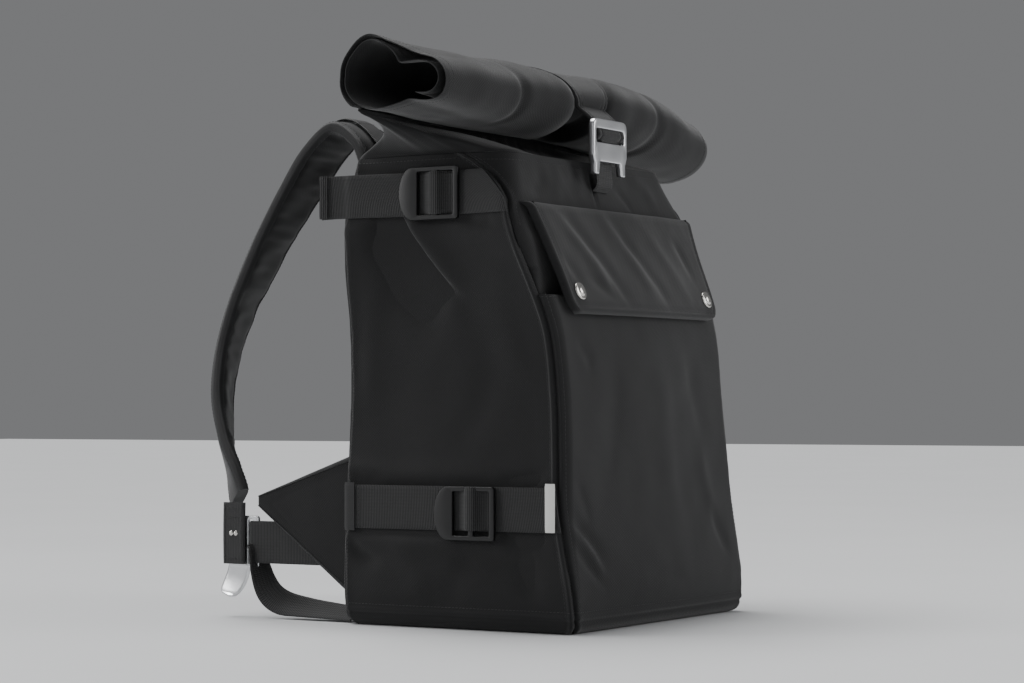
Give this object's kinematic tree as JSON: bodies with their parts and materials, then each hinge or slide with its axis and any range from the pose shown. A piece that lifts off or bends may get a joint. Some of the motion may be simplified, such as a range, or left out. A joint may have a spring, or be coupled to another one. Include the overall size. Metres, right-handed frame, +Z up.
{
  "type": "rolltop backpack",
  "caption": "Rolltop backpack with rolled mouth held by a metal hook, flap pocket, side compression straps and padded shoulder straps.",
  "frame": {"origin": "centre of the bag's base, on the surface that it stands on", "axes": "+Z up, the front with the flap pocket faces -Y, the wearer's back is towards +Y, X across the bag"},
  "size_m": [0.464, 0.4233, 0.5064],
  "materials": {
    "bag_cloth": "matte black woven nylon",
    "strap_cloth": "matte black padded nylon",
    "webbing": "black woven webbing",
    "buckle_plastic": "black moulded plastic, slight sheen",
    "hook_metal": "satin bright metal",
    "label_cloth": "blank white woven tag"
  },
  "bodies": {
    "root": {"base_panel": "bag_cloth", "back_panel": "bag_cloth", "side_panel_left": "bag_cloth", "side_panel_right": "bag_cloth", "front_panel": "bag_cloth", "pocket_panel": "bag_cloth", "pocket_flap": "bag_cloth", "collar": "bag_cloth", "roll": "bag_cloth", "roll_strap": "bag_cloth", "shoulder_strap_left": "strap_cloth", "shoulder_strap_right": "strap_cloth", "wing_left": "bag_cloth", "wing_right": "bag_cloth", "lower_strap_left": "webbing", "lower_strap_right": "webbing", "upper_strap_left": "webbing", "upper_strap_right": "webbing", "lifter_web_left": "webbing", "lifter_web_right": "webbing", "wing_web_left": "webbing", "wing_web_right": "webbing", "tail_web_left": "webbing", "tail_web_right": "webbing", "strap_tab_left": "webbing", "strap_tab_right": "webbing", "front_web": "webbing", "ladder_lock_lower_left": "buckle_plastic", "ladder_lock_lower_right": "buckle_plastic", "ladder_lock_upper_left": "buckle_plastic", "ladder_lock_upper_right": "buckle_plastic", "roll_hook": "hook_metal", "snap_left": "hook_metal", "snap_right": "hook_metal", "strap_hook_left": "hook_metal", "strap_hook_right": "hook_metal", "strap_rivet_left": "hook_metal", "strap_rivet_right": "hook_metal", "side_label": "label_cloth"}
  },
  "joints": []
}
